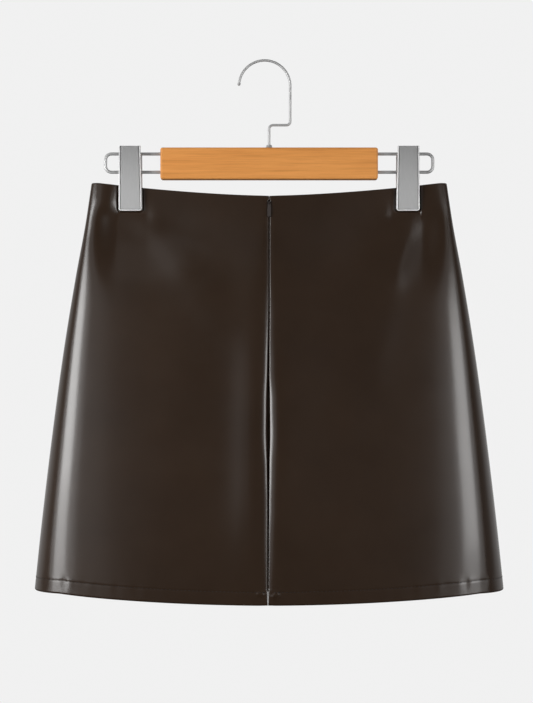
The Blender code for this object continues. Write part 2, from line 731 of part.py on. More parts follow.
def make_clips(parts, cutters, steel):
    length = CLIP_TOP_Z - CLIP_LOW_Z
    for where, x in (("left", -CLIP_X), ("right", CLIP_X)):
        near, far = length, length - BACK_JAW_SHORTER
        make_jaw(f"clip_{where}_jaw_near", x, BACK, near, parts, cutters, steel)
        make_jaw(f"clip_{where}_jaw_far", x, FRONT, far, parts, cutters, steel)
        make_core(f"clip_{where}_core", x, parts, cutters, steel)


def main():
    clear_scene()
    parts = new_collection(OBJECT_NAME)
    cutters = new_collection("cutters")
    cutters.hide_render = True
    leather = principled("leather", (0.028, 0.019, 0.015), 0.33)
    tape = principled("zip_tape", (0.02, 0.015, 0.012), 0.8)
    coil = principled("zip_coil", (0.03, 0.022, 0.018), 0.5)
    zip_metal = principled("zip_metal", (0.10, 0.08, 0.075), 0.4, 0.6)
    wood = principled("wood", (0.62, 0.28, 0.085), 0.45)
    steel = principled("steel", (0.62, 0.62, 0.62), 0.25, 1.0)
    clip_steel = principled("clip_steel", (0.40, 0.40, 0.40), 0.4, 0.8)
    make_panels(parts, leather)
    make_zip_tapes(parts, tape, coil)
    make_slider(parts, cutters, zip_metal)
    make_pull_tab(parts, cutters, zip_metal)
    make_bar(parts, cutters, wood)
    make_wire_loops(parts, steel)
    make_hook(parts, steel)
    make_collar(parts, steel)
    make_clips(parts, cutters, clip_steel)


main()
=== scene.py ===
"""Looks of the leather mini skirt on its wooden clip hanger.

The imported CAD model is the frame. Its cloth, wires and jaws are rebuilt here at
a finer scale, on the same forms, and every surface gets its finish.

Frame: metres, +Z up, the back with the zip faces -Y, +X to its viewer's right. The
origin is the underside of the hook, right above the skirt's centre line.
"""

import functools
import math

import bpy
from mathutils import Matrix, Vector

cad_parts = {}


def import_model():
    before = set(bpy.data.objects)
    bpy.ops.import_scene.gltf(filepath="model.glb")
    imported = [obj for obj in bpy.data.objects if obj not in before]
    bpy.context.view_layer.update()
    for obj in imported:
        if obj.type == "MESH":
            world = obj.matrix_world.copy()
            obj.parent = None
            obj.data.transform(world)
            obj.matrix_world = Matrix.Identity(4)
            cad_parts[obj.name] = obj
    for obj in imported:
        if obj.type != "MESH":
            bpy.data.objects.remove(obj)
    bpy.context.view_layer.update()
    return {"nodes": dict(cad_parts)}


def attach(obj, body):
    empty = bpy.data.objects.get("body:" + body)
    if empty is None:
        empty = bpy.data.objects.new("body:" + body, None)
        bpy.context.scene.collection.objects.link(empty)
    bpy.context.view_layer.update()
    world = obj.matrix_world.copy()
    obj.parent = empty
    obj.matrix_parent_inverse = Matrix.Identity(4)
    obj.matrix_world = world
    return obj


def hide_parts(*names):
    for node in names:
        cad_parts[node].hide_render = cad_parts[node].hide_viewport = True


BODY = "skirt_and_hanger"  # the only body whose pieces are rebuilt here
BACK, FRONT = -1, 1  # the side of the skirt, as the sign of Y

# ---- the photograph's camera
PHOTO_WIDTH, PHOTO_HEIGHT = 533, 703
PIXEL = 0.00095  # metres that a pixel covers at the skirt's middle plane
AXIS_COLUMN = 269.15  # the pixel column of the skirt's centre line
ORIGIN_ROW = 62.1  # the pixel row of the origin
CAMERA_DISTANCE = 1.5
SENSOR_MM = 36.0
BACKDROP_COLOUR = (0.877, 0.877, 0.877, 1)  # linear, of the plain background

# ---- the cloth, as in part.py
WALL = 0.0012  # one layer of leather
TURNED_WALL = 0.0026  # two layers, where an edge is turned in
GAP = 0.0003  # between neighbouring pieces
HALF_GAP = GAP / 2
WAIST_Z = -0.1151  # the waist edge at the side seams
SIDE_LENGTH = 0.385  # along a side seam
WAIST_SAG = 0.0124  # the waist edge dips this far at the centre
WAIST_SAG_REACH = 0.162  # and is level outside this distance from the centre
WAIST_SAG_POWER = 1.5
HEM_SAG = 0.0095
HEM_SAG_REACH = 0.195
WAIST_TURN = 0.0155  # depth of the turned waist edge
HEM_TURN = 0.0125  # depth of the stitched hem
SEAM_ALLOWANCE = 0.012

SECTION_COLUMNS = ("drop", "half_width", "half_depth", "side_radius", "crown")
SECTIONS = (
    (0.000, 0.1689, 0.0045, 0.0015, 0.0030),
    (0.040, 0.1748, 0.0088, 0.0054, 0.0030),
    (0.090, 0.1839, 0.0146, 0.0110, 0.0032),
    (0.160, 0.1952, 0.0217, 0.0190, 0.0040),
    (0.240, 0.2060, 0.0280, 0.0258, 0.0050),
    (0.320, 0.2155, 0.0335, 0.0332, 0.0060),
    (0.385, 0.2224, 0.0370, 0.0322, 0.0070),
)
SEAM_COLUMNS = ("drop", "half_opening", "half_edge", "roll_depth", "left_dip", "right_dip")
SEAM = (  # half_opening of the face, half_edge of the cut edges behind it
    (0.0000, 0.0002, HALF_GAP, 0.0005, 0.0000, 0.0000),
    (0.0036, 0.0002, HALF_GAP, 0.0006, 0.0000, 0.0000),
    (0.0050, 0.0008, 0.0008, 0.0040, 0.0003, 0.0003),
    (0.0155, 0.0008, 0.0008, 0.0048, 0.0004, 0.0005),
    (0.0172, 0.0003, HALF_GAP, 0.0048, 0.0005, 0.0004),
    (0.0650, 0.0002, HALF_GAP, 0.0048, 0.0006, 0.0005),
    (0.1300, 0.0003, HALF_GAP, 0.0048, 0.0013, 0.0016),
    (0.1650, 0.0005, HALF_GAP, 0.0048, 0.0015, 0.0023),
    (0.1950, 0.0010, HALF_GAP, 0.0050, 0.0019, 0.0035),
    (0.2250, 0.0012, HALF_GAP, 0.0052, 0.0019, 0.0038),
    (0.2600, 0.0005, HALF_GAP, 0.0050, 0.0012, 0.0034),
    (0.2900, 0.0002, HALF_GAP, 0.0048, 0.0010, 0.0031),
    (0.3300, 0.0002, HALF_GAP, 0.0046, 0.0011, 0.0022),
    (0.3690, 0.0002, HALF_GAP, 0.0040, 0.0009, 0.0014),
    (0.3730, HALF_GAP, HALF_GAP, 0.0010, 0.0002, 0.0003),
    (0.3800, HALF_GAP, HALF_GAP, 0.0006, 0.0001, 0.0001),
    (0.3825, HALF_GAP, HALF_GAP, 0.0002, 0.0000, 0.0000),
    (0.3850, HALF_GAP, HALF_GAP, 0.0002, 0.0000, 0.0000),
)
LIP_RADIUS = 0.0011  # of a rolled seam edge
DIP_REACH = {-1: 0.0030, 1: 0.0043}  # of the face's dip beside the seam, left and right
WELT = 0.0052  # panel and allowance together, at the seam
WELT_REACH = 0.008
CLIP_X = 0.1315
PINCH_HALF_DEPTH = 0.0029  # the cloth under a clip
PINCH_FLAT_IN = 0.0142  # flat this far from the clip's middle, towards the skirt's middle
PINCH_FLAT_OUT = 0.0118  # and towards the side seam
PINCH_FADE_IN = 0.112  # then it fades out over this distance
PINCH_EASE_IN = 0.12  # softens the start of that fade
PINCH_FADE_OUT = 0.032  # and over this one towards the side seam
PINCH_STEEP = 0.0120  # outside the clip the cloth first rises quickly
PINCH_STEEP_SHARE = {-1: 0.90, 1: 0.40}  # beside the left and the right clip
PINCH_STEEP_DROPS = (0.014, 0.034)  # between these that quick rise dies out
PINCH_FLAT_DROP = 0.024  # full pinch down to here
PINCH_END_DROP = 0.130
PINCH_POWER = 2  # of the fade below the clip
PINCH_HOLD_POWER = 60  # only the fullest pinch keeps the folds away

# Soft folds of a face, as ridges. Each runs from its top end to its bottom end, x from the
# centre line, drop from the waist. It falls off over its own distance to either side.
FOLD_FADE = 2.2  # a fold comes in over about a third of its length at each end
FOLD_END_SHARE = 0.3  # and is already this far in at the end itself
FOLD_REACH = 3  # in spreads, where a fold has died out
FOLDS = (
    # side, top_x, top_drop, end_x, end_drop, left_spread, right_spread, height
    (BACK, -0.007, 0.060, -0.012, 0.370, 0.024, 0.050, 0.0036),
    (BACK, -0.126, 0.022, -0.072, 0.080, 0.016, 0.016, 0.0010),
    (BACK, -0.090, 0.046, -0.028, 0.150, 0.022, 0.024, 0.0011),
    (BACK, 0.140, 0.016, 0.113, 0.098, 0.026, 0.0125, 0.0025),
    (BACK, 0.118, 0.080, 0.094, 0.190, 0.024, 0.016, 0.0006),
    (BACK, -0.1625, -0.020, -0.1625, 0.044, 0.012, 0.009, 0.0011),
    (BACK, -0.0110, 0.3732, -0.0030, 0.3748, 0.0020, 0.0022, 0.0006),
    (BACK, 0.0030, 0.3775, 0.0095, 0.3725, 0.0030, 0.0020, 0.0007),
    (FRONT, -0.118, 0.030, -0.078, 0.120, 0.013, 0.013, 0.0011),
    (FRONT, 0.116, 0.030, 0.080, 0.130, 0.013, 0.013, 0.0011),
    (FRONT, 0.022, 0.100, 0.030, 0.350, 0.045, 0.022, 0.0020),
)

# ---- the zip, as in part.py
TAPE_XS = (0.0014, 0.0042, 0.0070, 0.0098, 0.0125)  # columns of a tape, from the seam
TAPE_DROPS = (0.006, 0.185)
TAPE_THICKNESS = 0.0010
COIL_DROPS = (0.0148, 0.185)
COIL_HALF_WIDTH = 0.0011
COIL_THICKNESS = 0.0016

# ---- the hanger, as in part.py
BAR_SIZE = (0.206, 0.014, 0.0300)
BAR_Z = -0.0968
WIRE_RADIUS = 0.0015
WIRE_TOP_Z = -0.0873
WIRE_LOW_Z = -0.1046
WIRE_END_X = 0.1554
WIRE_CORNER = 0.0055
WIRE_SEAT = 0.012  # how far a wire reaches into the bar
HOOK_RADIUS = 0.0012  # of the hook's wire
HOOK_BEND = 0.0243  # of the hook's round
HOOK_CENTRE_X = -0.0043
HOOK_SHANK_BEND_Z = -0.0599
HOOK_SHANK_CORNER = 0.0036
HOOK_TIP_DEGREES = 172
CLIP_TOP_Z = -0.0806
CLIP_LOW_Z = -0.1417
CLIP_TOP_HALF_WIDTH = 0.0101
CLIP_LOW_HALF_WIDTH = 0.0110
CLIP_SHEET = 0.0009
CLIP_TRAY_DEPTH = 0.0030
CLIP_CORNER = 0.0024
CLIP_GRIP_HALF_GAP = 0.0034  # from the middle of the cloth to a jaw, at its lower end
CLIP_TILT_DEGREES = 5.2
BACK_JAW_SHORTER = 0.007

# ---- detail that only the looks have
WIRE_SIDES = 20
LOOP_CORNER_STEPS = 12
SHANK_CORNER_STEPS = 9
HOOK_STEPS = 64
TIP_BALL = 1.3  # the ball at the hook's tip, in radii of the wire
TIP_BALL_DEGREES = (-50, -30, -10, 10, 30, 50, 65, 78)
# A jaw from its open back to its face: the side, a rolled edge, a narrow groove.
JAW_RIM = (
    # inset from the outline, depth behind the front
    (0.0, CLIP_TRAY_DEPTH),
    (0.0, 0.0007),
    (0.0002, 0.0002),
    (0.0005, 0.0),
    (0.0011, 0.0),
    (0.0013, 0.0003),
    (0.0014, 0.0010),
    (0.0018, 0.0010),
    (0.0019, 0.0003),
    (0.0026, 0.0003),
)
JAW_HIGHLIGHT_ROWS = 4  # this many strips, from the back, take a near-white copy of the steel: a painted highlight on the rim
JAW_LEAST_CORNER = 0.0004  # radius of the innermost rows' corners
JAW_CORNER_STEPS = 8
TAPE_ROW_STEP = 0.003
TOOTH_PITCH = 0.0012
TOOTH_RADIUS = 0.00042
TOOTH_SIDES = 8
TOOTH = (
    # place across, as a share of the coil's half width; bow inwards and size, in radii
    (-1.0, 0.3, 0.7),
    (-0.5, 0.0, 1.0),
    (0.0, 0.1, 1.1),
    (0.5, 0.0, 1.0),
    (1.0, 0.3, 0.7),
)
STITCH_DROP = SIDE_LENGTH - HEM_TURN
STITCH_PITCH = 0.0036
STITCH_LENGTH = 0.0023
STITCH_RADIUS = 0.00030
STITCH_START_X = 0.0055  # of the first stitch beside the centre seam
STITCH_LAST_SHARE = 0.9985  # of the half width
STITCH_STEPS, STITCH_SIDES = 4, 6
STITCH_SUNK, STITCH_RISE = 0.9, 1.1  # in radii: its ends lie deeper, its middle rises
STITCH_END_SIZE = 0.45  # its ends are this much as thick as its middle
GROOVE_DEPTH = 0.00013  # of the line that the stitches pull into the leather
GROOVE_REACH = 0.0011
PUCKER_HEIGHT = 0.00017  # of the small waves along those stitches
PUCKER_LENGTH = 0.0027  # of one radian of the wave
PUCKER_SECOND = (0.6, 1.73, 1.0)  # a second wave's height and pace beside the first's, phase
PUCKER_ABOVE, PUCKER_BELOW = 0.004, 0.009  # reach from the stitches
PUCKER_LEAST = 0.25  # of their height, away from the side seams
PUCKER_START_X, PUCKER_FADE = 0.150, 0.045  # where they grow to their full height
CLIP_GROOVE_DEPTH = 0.0011  # of the line that a clip's edge presses into the cloth
CLIP_GROOVE_OFFSET = 0.0005
CLIP_GROOVE_REACH = 0.0009
CLIP_GROOVE_END_DROP = 0.034  # well below the jaws
SEAM_SWAY = 0.0012  # the centre back seam drifts this far to the left
SWAY_START, SWAY_LENGTH = 0.090, 0.110
SWAY_REACH = 0.020
SIDE_SEAM_DIP = 0.0005  # the valley along a side seam
SIDE_SEAM_REACH = 0.0012
SIDE_SEAM_POWER = 20  # of the share of the half width, so that only the side has it
SHARP_DEGREES = 50  # faces that meet at more than this don't blend
RIM_STEPS = 6  # round a turned edge
LIP_STEPS = 8  # round a rolled seam edge
EDGE_STEPS = 4  # from a rolled seam edge in to its cut edge

# Columns of a panel: distances from the seam, then shares of the half width.
NEAR_SEAM_XS = (
    0.0031, 0.0040, 0.0050, 0.0060, 0.0075, 0.0090, 0.0105, SEAM_ALLOWANCE, 0.0126, 0.0145,
    0.0170, 0.0195,
)
# Then (first share, last share, steps on a back panel, steps on the front), close
# together where the edges of a clip's jaw lie.
SHARE_RUNS = (
    (0.125, 0.689, 46, 24),
    (0.689, 0.725, 17, 15),
    (0.725, 0.816, 8, 5),
    (0.816, 0.851, 17, 15),
    (0.851, 0.930, 8, 5),
)
# Last, round the side, at shares of sin(turn) ** ROUND_POWER up to a turn of 90 degrees.
ROUND_COLUMNS = 24
ROUND_START_DEGREES = 29.0
ROUND_POWER = 0.1
# Rows of a panel: (first drop, last drop, steps between).
ROW_RUNS = (
    (TURNED_WALL / 2, 0.0060, 12),
    (0.0060, 0.0210, 9),
    (0.0210, 0.0270, 15),
    (0.0270, 0.3680, 148),
    (0.3680, 0.3765, 22),
    (0.3765, SIDE_LENGTH - TURNED_WALL / 2, 10),
)


# ---- shape of the cloth
def soft_step(share):
    """0 to 1, level at both ends."""
    share = min(1.0, max(0.0, share))
    return share * share * (3 - 2 * share)


def table_place(rows, drop):
    """Index of the row above a drop, and the share of the way to the next row."""
    last = len(rows) - 2
    place = next((i for i in range(last) if drop < rows[i + 1][0]), last)
    return place, (drop - rows[place][0]) / (rows[place + 1][0] - rows[place][0])


@functools.lru_cache(maxsize=None)
def section_at(drop):
    """The section's values at a drop, joined smoothly from row to row."""
    place, t = table_place(SECTIONS, drop)
    before, low = SECTIONS[max(0, place - 1)], SECTIONS[place]
    high, after = SECTIONS[place + 1], SECTIONS[min(place + 2, len(SECTIONS) - 1)]
    span = high[0] - low[0]
    section = {}
    for i, name in enumerate(SECTION_COLUMNS):
        slope_low = (high[i] - before[i]) / (high[0] - before[0]) * span
        slope_high = (after[i] - low[i]) / (after[0] - low[0]) * span
        section[name] = (
            low[i] * (2 * t**3 - 3 * t**2 + 1)
            + high[i] * (3 * t**2 - 2 * t**3)
            + slope_low * (t**3 - 2 * t**2 + t)
            + slope_high * (t**3 - t**2)
        )
    depth = section["half_depth"]
    section["roundness"] = 2 * section["half_width"] * section["side_radius"] / depth**2
    return section


@functools.lru_cache(maxsize=None)
def seam_at(drop):
    """The seam's values at a drop, eased from row to row."""
    place, t = table_place(SEAM, drop)
    t = soft_step(t)
    low, high = SEAM[place], SEAM[place + 1]
    return {name: low[i] + (high[i] - low[i]) * t for i, name in enumerate(SEAM_COLUMNS)}


def height_at(share, drop):
    """World Z of the cloth at a share of the half width."""
    waist_x = abs(share) * SECTIONS[0][1]
    hem_x = abs(share) * SECTIONS[-1][1]
    dip = 1 - min(1.0, waist_x / WAIST_SAG_REACH) ** WAIST_SAG_POWER
    swell = 1 - min(1.0, hem_x / HEM_SAG_REACH) ** 2
    top = WAIST_Z - WAIST_SAG * dip
    bottom = WAIST_Z - SIDE_LENGTH - HEM_SAG * swell
    return top + (bottom - top) * drop / SIDE_LENGTH


def pinch_at(x, drop):
    """How much a clip presses the cloth at x: 1 under it, 0 away from it."""
    from_clip = abs(x) - CLIP_X
    if from_clip > 0:
        past = max(0.0, from_clip - PINCH_FLAT_OUT)
        steep = max(0.0, 1 - past / PINCH_STEEP) ** 2
        slow = 1 - soft_step(past / PINCH_FADE_OUT)
        start, end = PINCH_STEEP_DROPS
        steep_share = PINCH_STEEP_SHARE[-1 if x < 0 else 1]
        steep_share *= 1 - soft_step((drop - start) / (end - start))
        across = steep_share * steep + (1 - steep_share) * slow
    else:
        past = min(1.0, max(0.0, (-from_clip - PINCH_FLAT_IN) / PINCH_FADE_IN))
        across = 1 - past * past / (past + PINCH_EASE_IN) * (1 + PINCH_EASE_IN)
    below = (drop - PINCH_FLAT_DROP) / (PINCH_END_DROP - PINCH_FLAT_DROP)
    return across * (1 - soft_step(below)) ** PINCH_POWER


def fold_height(side, x, drop):
    """What the folds add to the face at a point."""
    total = 0.0
    for fold_side, top_x, top_drop, end_x, end_drop, left, right, height in FOLDS:
        if fold_side != side:
            continue
        run_x, run_drop = end_x - top_x, end_drop - top_drop
        length = math.hypot(run_x, run_drop)
        along = ((x - top_x) * run_x + (drop - top_drop) * run_drop) / length**2
        off = ((x - top_x) * run_drop - (drop - top_drop) * run_x) / length
        spread = right if off > 0 else left
        if abs(off) < FOLD_REACH * spread:
            starts = soft_step(along * FOLD_FADE + FOLD_END_SHARE)
            ends = soft_step((1 - along) * FOLD_FADE + FOLD_END_SHARE)
            total += height * starts * ends * math.exp(-((off / spread) ** 2))
    return total


def hem_pucker_at(x, drop):
    """Small puckers that the hem's stitches draw in, most of all near the side seams."""
    reach = PUCKER_ABOVE if drop < STITCH_DROP else PUCKER_BELOW
    band = math.exp(-(((drop - STITCH_DROP) / reach) ** 2))
    beside = soft_step((abs(x) - PUCKER_START_X) / PUCKER_FADE)
    second, pace, phase = PUCKER_SECOND
    waves = math.sin(x / PUCKER_LENGTH) + second * math.sin(x / PUCKER_LENGTH * pace + phase)
    return PUCKER_HEIGHT * (PUCKER_LEAST + (1 - PUCKER_LEAST) * beside) * band * waves


def clip_groove_at(x, height):
    """How far the cloth is pressed in along the edge of a clip's jaw. height is World Z."""
    share = (height - CLIP_LOW_Z) / (CLIP_TOP_Z - CLIP_LOW_Z)
    half = CLIP_LOW_HALF_WIDTH + (CLIP_TOP_HALF_WIDTH - CLIP_LOW_HALF_WIDTH) * share
    beside = abs(abs(x) - CLIP_X) - half
    below = CLIP_LOW_Z - height
    if max(beside, below) < -2 * CLIP_GROOVE_REACH:  # well under the jaw
        return 0.0
    outside = math.hypot(max(0.0, beside + CLIP_CORNER), max(0.0, below + CLIP_CORNER))
    distance = outside - CLIP_CORNER if outside else max(beside, below)
    distance -= CLIP_GROOVE_OFFSET
    return CLIP_GROOVE_DEPTH * math.exp(-((distance / CLIP_GROOVE_REACH) ** 2))


def groove_at(drop):
    """How far the hem's stitches pull the face in."""
    return GROOVE_DEPTH * math.exp(-(((drop - STITCH_DROP) / GROOVE_REACH) ** 2))


def wall_at(drop):
    """The cloth is two layers thick at its turned waist and hem."""
    turned = drop < WAIST_TURN + GAP or drop > SIDE_LENGTH - HEM_TURN
    return TURNED_WALL if turned else WALL


def face_points(side, share, drop):
    """Outer and inner (x, distance from the middle plane) at a share of the half width."""
    section = section_at(drop)
    half_width = section["half_width"]
    x = share * half_width
    height = section["half_depth"] + section["crown"] * (1 - share**2)
    pinch = pinch_at(x, drop)
    height += (PINCH_HALF_DEPTH - height) * pinch
    height += fold_height(side, x, drop) * (1 - pinch**PINCH_HOLD_POWER)
    height += hem_pucker_at(x, drop) - groove_at(drop)
    if drop < CLIP_GROOVE_END_DROP:
        height -= clip_groove_at(x, height_at(share, drop))
    rounding = math.sqrt(max(0.0, 1 - abs(share) ** section["roundness"]))
    wall = wall_at(drop)
    outer_depth = HALF_GAP + height * rounding
    inner_depth = HALF_GAP + max(height - wall, GAP) * rounding
    valley = SIDE_SEAM_DIP * math.exp(-outer_depth / SIDE_SEAM_REACH)
    valley *= abs(share) ** SIDE_SEAM_POWER
    outer_x = x - math.copysign(valley, share)
    return (outer_x, outer_depth), (share * (half_width - wall), inner_depth)


def surface_point(side, share, drop):
    x, depth = face_points(side, share, drop)[0]
    return Vector((x, side * depth, height_at(share, drop)))


def surface_normal(side, share, drop):
    """Outward normal of the face, from its neighbours."""
    step = 0.0005
    inner_share = share - math.copysign(step, share)
    across = surface_point(side, share, drop) - surface_point(side, inner_share, drop)
    down = surface_point(side, share, drop) - surface_point(side, share, drop - step)
    normal = across.cross(down).normalized()
    return normal if normal.y * side > 0 else -normal


# ---- object and mesh helpers
def new_object(name, data):
    obj = bpy.data.objects.new(name, data)
    bpy.context.scene.collection.objects.link(obj)
    return obj


def new_mesh_object(name, points, faces, materials, face_materials=None):
    mesh = bpy.data.meshes.new(name)
    mesh.from_pydata(points, [], faces)
    for material in materials:
        mesh.materials.append(material)
    if face_materials:
        mesh.polygons.foreach_set("material_index", face_materials)
    mesh.shade_smooth()
    mesh.set_sharp_from_angle(angle=math.radians(SHARP_DEGREES))
    return new_object(name, mesh)


def place_piece(obj, nodes=()):
    """The piece rides on the skirt and stands for CAD nodes."""
    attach(obj, BODY)
    if nodes:
        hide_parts(*nodes)
    return obj


class Lofts:
    """Tubes and other lofted forms, gathered into one mesh."""

    def __init__(self):
        self.points = []
        self.faces = []

    def add(self, rings):
        """A closed form through rings of equal length, capped at both ends."""
        first = len(self.points)
        count = len(rings[0])
        for ring in rings:
            self.points += [tuple(point) for point in ring]
        for row in range(len(rings) - 1):
            for i in range(count):
                here = first + row * count
                after = (i + 1) % count
                above = here + count
                self.faces.append((here + i, here + after, above + after, above + i))
        last = first + (len(rings) - 1) * count
        self.faces.append(tuple(range(first + count - 1, first - 1, -1)))
        self.faces.append(tuple(range(last, last + count)))

    def tube(self, path, radii, sides, up=Vector((0, 0, 1))):
        """A round tube along a path. A side vector is carried along, so it never twists."""
        rings = []
        across = None
        for i, centre in enumerate(path):
            ahead = path[min(i + 1, len(path) - 1)] - path[max(i - 1, 0)]
            ahead.normalize()
            if across is None:
                across = ahead.cross(up if abs(ahead.dot(up)) < 0.9 else Vector((0, 1, 0)))
            across = (across - ahead * across.dot(ahead)).normalized()
            other = ahead.cross(across)
            ring = []
            for k in range(sides):
                angle = 2 * math.pi * k / sides
                out = across * math.cos(angle) + other * math.sin(angle)
                ring.append(centre + out * radii[i])
            rings.append(ring)
        self.add(rings)

    def to_object(self, name, material):
        return new_mesh_object(name, self.points, self.faces, [material])


def round_rim(outer_row, inner_row, up):
    """Rows of points round the folded edge between an outer and an inner row."""
    rows = []
    for step in range(1, RIM_STEPS):
        angle = math.pi * step / RIM_STEPS
        row = []
        for outer, inner in zip(outer_row, inner_row):
            middle = (outer + inner) / 2
            reach = (outer - inner) / 2
            rise = min(reach.length, TURNED_WALL / 2) * math.sin(angle) * up
            row.append(middle + reach * math.cos(angle) + Vector((0, 0, rise)))
        rows.append(row)
    return rows


def walled_sheet(name, outer_rows, inner_rows, rims, materials, is_backing):
    """A closed wall between two grids of points. rims are the rows between the grids: at
    the bottom from outer to inner, and at the top from inner to outer. is_backing tells
    by row and column where the inner grid shows the second material."""
    bottom_rim, top_rim = rims
    loop = outer_rows + bottom_rim + inner_rows[::-1] + top_rim
    rows, columns = len(outer_rows), len(outer_rows[0])
    points = [tuple(point) for row in loop for point in row]
    faces, face_materials = [], []
    inner_start = rows + len(bottom_rim)
    for row in range(len(loop)):
        after = (row + 1) % len(loop)
        on_inner = inner_start <= row < inner_start + rows - 1
        for i in range(columns - 1):
            start, end = row * columns + i, after * columns + i
            faces.append((start, end, end + 1, start + 1))
            backing = on_inner and is_backing(inner_start + rows - 1 - row, i)
            face_materials.append(1 if backing else 0)
    for column, turn in ((0, 1), (columns - 1, -1)):
        for row in range(rows - 1):
            far = inner_start + rows - 1 - row
            edge = [row, far, far - 1, row + 1]
            faces.append(tuple(r * columns + column for r in edge[::turn]))
            face_materials.append(0)
        bottom = [r * columns + column for r in range(rows - 1, inner_start + 1)]
        top = [r * columns + column for r in range(inner_start + rows - 1, len(loop))]
        for cap in (bottom, top + [column]):
            faces.append(tuple(cap[::turn]))
            face_materials.append(0)
    return new_mesh_object(name, points, faces, materials, face_materials)


# ---- the panels
def row_drops():
    drops = []
    for start, end, steps in ROW_RUNS:
        drops += [start + (end - start) * i / steps for i in range(steps)]
    return drops + [ROW_RUNS[-1][1]]


def face_shares(side):
    """Shares of the half width over the face, and close together round the side."""
    shares = []
    for start, end, back_steps, front_steps in SHARE_RUNS:
        steps = back_steps if side == BACK else front_steps
        shares += [start + (end - start) * i / steps for i in range(steps)]
    for i in range(ROUND_COLUMNS + 1):
        turn = ROUND_START_DEGREES + (90 - ROUND_START_DEGREES) * i / ROUND_COLUMNS
        shares.append(math.sin(math.radians(turn)) ** ROUND_POWER)
    return shares


def placed(points, half_width, side, drop):
    return [
        Vector((x, side * depth, height_at(min(1.0, abs(x) / half_width), drop)))
        for x, depth in points
    ]


def seam_sway(x, drop):
    """The seam line drifts a little to the left on its way down."""
    drift = soft_step((drop - SWAY_START) / SWAY_LENGTH)
    return -SEAM_SWAY * drift * math.exp(-abs(x) / SWAY_REACH)


def seam_dip(seam, mirror, x):
    """How far the face has sunk at a distance x from the seam line."""
    dip = seam["left_dip"] if mirror < 0 else seam["right_dip"]
    return dip * math.exp(-max(0.0, x - seam["half_opening"]) / DIP_REACH[mirror])


def welt_at(x, wall):
    """Thickness of panel and seam allowance together, beside the seam."""
    return wall + (WELT - wall) * (1 - soft_step(abs(x) / WELT_REACH))


def seam_columns(drop, face, wall, mirror):
    """Outer and inner points of a rolled seam edge: cut edge, then round to the face."""
    seam = seam_at(drop)
    opening = seam["half_opening"]
    lip_x = opening + LIP_RADIUS
    dip = seam_dip(seam, mirror, 0.0)
    radius = min(LIP_RADIUS, seam["roll_depth"])
    cut = (seam["half_edge"], face - max(seam["roll_depth"], radius + dip) - GAP)
    turned_in = (opening, face - radius - dip)
    outer = []
    for i in range(EDGE_STEPS):
        t = i / EDGE_STEPS
        x = cut[0] + (turned_in[0] - cut[0]) * soft_step(t)
        outer.append((x, cut[1] + (turned_in[1] - cut[1]) * t))
    for i in range(LIP_STEPS + 1):
        angle = math.pi / 2 * (1 - i / LIP_STEPS)
        x = opening + LIP_RADIUS * (1 - math.sin(angle))
        outer.append((x, face - radius * (1 - math.cos(angle)) - seam_dip(seam, mirror, x)))
    inner = []
    for i in range(len(outer)):
        x = seam["half_edge"] + (lip_x - seam["half_edge"]) * i / (len(outer) - 1)
        inner.append((x, min(face - welt_at(x, wall), cut[1] - GAP)))
    return outer, inner


def back_row(drop, mirror, shares):
    """Outer and inner points of a back panel at one drop, from the seam to the side."""
    half_width = section_at(drop)["half_width"]
    seam = seam_at(drop)
    face = face_points(BACK, 0.0, drop)[0][1]
    outer, inner = seam_columns(drop, face, wall_at(drop), mirror)
    near = [x / half_width for x in NEAR_SEAM_XS]
    for share in near + shares:
        (x, depth), inner_point = face_points(BACK, mirror * share, drop)
        x = abs(x)
        outer.append((x, depth - seam_dip(seam, mirror, x)))
        if x <= SEAM_ALLOWANCE:
            inner_point = (x, depth - welt_at(x, TURNED_WALL))
        inner.append((abs(inner_point[0]), inner_point[1]))
    swayed = [
        [(mirror * x + seam_sway(x, drop), depth) for x, depth in points]
        for points in (outer, inner)
    ]
    return half_width, swayed[0], swayed[1]


def front_row(drop, shares):
    """Outer and inner points of the front panel at one drop, from side to side."""
    half_width = section_at(drop)["half_width"]
    half = [x / half_width for x in NEAR_SEAM_XS[::2]] + shares
    across = [-share for share in reversed(half)] + [0.0] + half
    pairs = [face_points(FRONT, share, drop) for share in across]
    return half_width, [pair[0] for pair in pairs], [pair[1] for pair in pairs]


def make_panel(name, side, rows, materials, seam_points):
    """One panel from its rows. seam_points counts the columns over the seam allowance."""
    drops = row_drops()
    outer_rows = [placed(row[1], row[0], side, drop) for row, drop in zip(rows, drops)]
    inner_rows = [placed(row[2], row[0], side, drop) for row, drop in zip(rows, drops)]
    rims = (
        round_rim(outer_rows[-1], inner_rows[-1], -1),
        round_rim(inner_rows[0], outer_rows[0], 1),
    )

    def is_backing(row, column):
        turned = drops[row] < WAIST_TURN or drops[row] > SIDE_LENGTH - HEM_TURN
        return not turned and column >= seam_points

    panel = walled_sheet(name, outer_rows, inner_rows, rims, materials, is_backing)
    return place_piece(panel, (name.replace("leather_", "panel_"),))


def panel_cut(side):
    """(width, length) of a panel's bounding rectangle laid flat, and its area: the hem from
    the centre line to the side, the length down the middle of the panel."""
    drops = row_drops()
    shares = [0.0] + face_shares(side)
    lines = [[surface_point(side, share, drop) for share in shares] for drop in drops]

    def length(points):
        return sum((b - a).length for a, b in zip(points, points[1:]))

    widths = [length(line) for line in lines]
    middle = [line[len(line) // 2] for line in lines]
    steps = [(b - a).length for a, b in zip(middle, middle[1:])]
    area = sum(step * (a + b) / 2 for step, a, b in zip(steps, widths, widths[1:]))
    return max(widths), sum(steps), area


def declare_sheets(panels, stitching):
    """Works out the flat size of each panel, a sheet of leather that hangs from the clips;
    the sizes are not used further.
    """
    for panel, stitches in zip(panels, stitching):
        if panel.name == "leather_front":
            side, halves, where, clips = FRONT, 2, "far", ("left", "right")
        else:
            side, halves, where, clips = BACK, 1, "near", (panel.name.split("_")[-1],)
        width, length, area = panel_cut(side)


